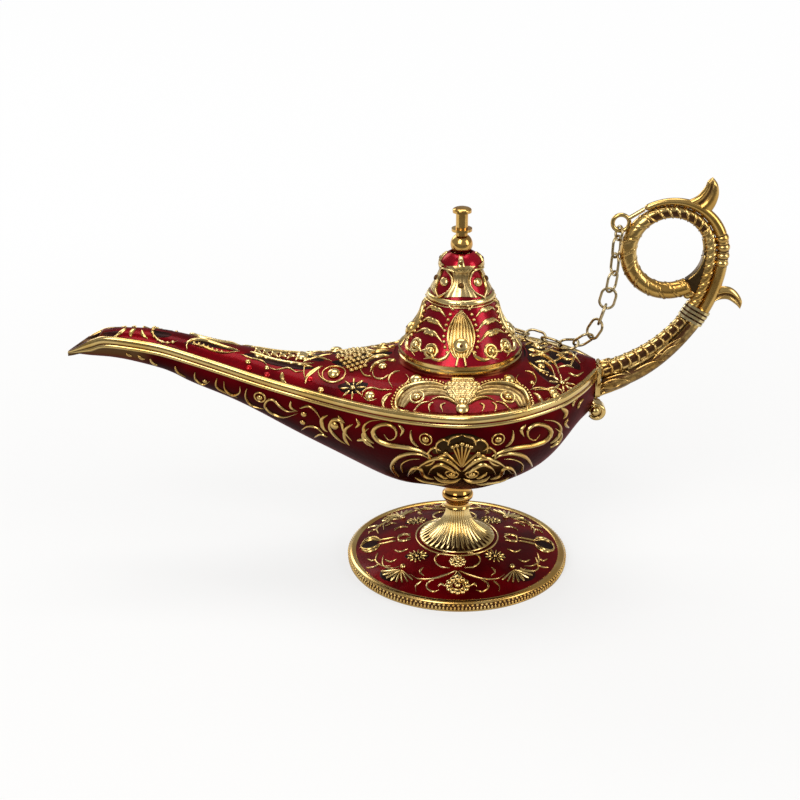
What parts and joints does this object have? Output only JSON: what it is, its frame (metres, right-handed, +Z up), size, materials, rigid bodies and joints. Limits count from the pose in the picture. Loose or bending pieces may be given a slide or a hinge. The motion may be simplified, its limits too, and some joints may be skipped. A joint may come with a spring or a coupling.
{
  "type": "genie oil lamp",
  "caption": "Long-spouted oil lamp on a round foot, with a lift-off conical lid held by a chain and a handle that curls into a finger ring.",
  "frame": {"origin": "centre of the foot's underside, on the surface that the lamp stands on", "axes": "+Z up, +X towards the handle, the spout towards -X"},
  "size_m": [0.2098, 0.0728, 0.1287],
  "materials": {
    "gold": "polished, with dark patina in the recesses",
    "enamel": "deep red enamel under clear gloss, between raised gold ornament",
    "chain": "pale gold wire, lightly dulled",
    "screws": "plain",
    "felt": "matt felt"
  },
  "bodies": {
    "lamp": {"foot_plate": "enamel", "foot_pad": "felt", "stem_bell": "gold", "stem_knop": "gold", "tie_screw": "screws", "tie_washer": "screws", "tie_nut": "screws", "bowl": "enamel", "deck": "enamel", "stern_scroll": "gold", "handle_root": "gold", "handle_screw": "screws", "handle_inner_strand": "gold", "handle_outer_strand": "gold", "handle_web": "gold", "handle_binding": "gold", "handle_top_leaf": "gold", "handle_side_leaf": "gold", "handle_bead": "gold", "handle_eye": "gold"},
    "lid": {"lid_ring": "gold", "lid_cone": "enamel", "finial": "gold", "finial_nut": "screws", "lid_eye": "gold"},
    "jump_ring": {"jump_ring": "chain"},
    "chain_link_01": {"chain_link_01": "chain"},
    "chain_link_02": {"chain_link_02": "chain"},
    "chain_link_03": {"chain_link_03": "chain"},
    "chain_link_04": {"chain_link_04": "chain"},
    "chain_link_05": {"chain_link_05": "chain"},
    "chain_link_06": {"chain_link_06": "chain"},
    "chain_link_07": {"chain_link_07": "chain"},
    "chain_link_08": {"chain_link_08": "chain"},
    "chain_link_09": {"chain_link_09": "chain"},
    "chain_link_10": {"chain_link_10": "chain"},
    "chain_link_11": {"chain_link_11": "chain"}
  },
  "joints": [
    {"name": "lid_lift", "type": "slide", "parent": "lamp", "child": "lid", "axis": [0, 0, 1], "range_m": [0, 0.012]},
    {"name": "jump_ring_swing", "type": "hinge", "parent": "lamp", "child": "jump_ring", "pos_m": [0.04798, 0, 0.11245], "axis": [0.4544, 0.8908, 0], "range_deg": [-1, 1.28]},
    {"name": "link_01_swing", "type": "hinge", "parent": "jump_ring", "child": "chain_link_01", "pos_m": [0.0472, 0.0004, 0.10954], "axis": [0.4544, 0.8908, 0], "range_deg": [-1, 1.28]},
    {"name": "link_02_swing", "type": "hinge", "parent": "chain_link_01", "child": "chain_link_02", "pos_m": [0.04705, 0.00048, 0.10384], "axis": [0.4544, 0.8908, 0], "range_deg": [-1.28, 1]},
    {"name": "link_03_swing", "type": "hinge", "parent": "chain_link_02", "child": "chain_link_03", "pos_m": [0.04671, 0.00064, 0.09815], "axis": [0.4544, 0.8908, 0], "range_deg": [-3.62, 1]},
    {"name": "link_04_swing", "type": "hinge", "parent": "chain_link_03", "child": "chain_link_04", "pos_m": [0.04603, 0.00099, 0.0925], "axis": [0.4544, 0.8908, 0], "range_deg": [-1, 4.31]},
    {"name": "link_05_swing", "type": "hinge", "parent": "chain_link_04", "child": "chain_link_05", "pos_m": [0.04483, 0.00161, 0.08697], "axis": [0.4544, 0.8908, 0], "range_deg": [-1, 6.63]},
    {"name": "link_06_swing", "type": "hinge", "parent": "chain_link_05", "child": "chain_link_06", "pos_m": [0.04336, 0.00235, 0.08151], "axis": [0.4544, 0.8908, 0], "range_deg": [-1, 7.48]},
    {"name": "link_07_swing", "type": "hinge", "parent": "chain_link_06", "child": "chain_link_07", "pos_m": [0.04084, 0.00364, 0.07656], "axis": [0.4544, 0.8908, 0], "range_deg": [-1, 6.29]},
    {"name": "link_08_swing", "type": "hinge", "parent": "chain_link_07", "child": "chain_link_08", "pos_m": [0.03697, 0.00562, 0.07287], "axis": [0.4544, 0.8908, 0], "range_deg": [-1, 4.82]},
    {"name": "link_09_swing", "type": "hinge", "parent": "chain_link_08", "child": "chain_link_09", "pos_m": [0.03196, 0.00817, 0.07194], "axis": [0.4544, 0.8908, 0], "range_deg": [-1, 3.17]},
    {"name": "link_10_swing", "type": "hinge", "parent": "chain_link_09", "child": "chain_link_10", "pos_m": [0.02693, 0.01074, 0.07269], "axis": [0.4544, 0.8908, 0], "range_deg": [-1, 1.85]},
    {"name": "link_11_swing", "type": "hinge", "parent": "chain_link_10", "child": "chain_link_11", "pos_m": [0.0219, 0.01331, 0.07345], "axis": [0.4544, 0.8908, 0], "range_deg": [-1, 1.29]}
  ],
  "couplings": [
    {"joint": "jump_ring_swing", "follows": "lid_lift", "rad_per_m": 0.4},
    {"joint": "link_01_swing", "follows": "lid_lift", "rad_per_m": 0.4},
    {"joint": "link_02_swing", "follows": "lid_lift", "rad_per_m": -0.4},
    {"joint": "link_03_swing", "follows": "lid_lift", "rad_per_m": -3.814},
    {"joint": "link_04_swing", "follows": "lid_lift", "rad_per_m": 4.816},
    {"joint": "link_05_swing", "follows": "lid_lift", "rad_per_m": 8.193},
    {"joint": "link_06_swing", "follows": "lid_lift", "rad_per_m": 9.428},
    {"joint": "link_07_swing", "follows": "lid_lift", "rad_per_m": 7.694},
    {"joint": "link_08_swing", "follows": "lid_lift", "rad_per_m": 5.553},
    {"joint": "link_09_swing", "follows": "lid_lift", "rad_per_m": 3.153},
    {"joint": "link_10_swing", "follows": "lid_lift", "rad_per_m": 1.236},
    {"joint": "link_11_swing", "follows": "lid_lift", "rad_per_m": 0.429}
  ]
}
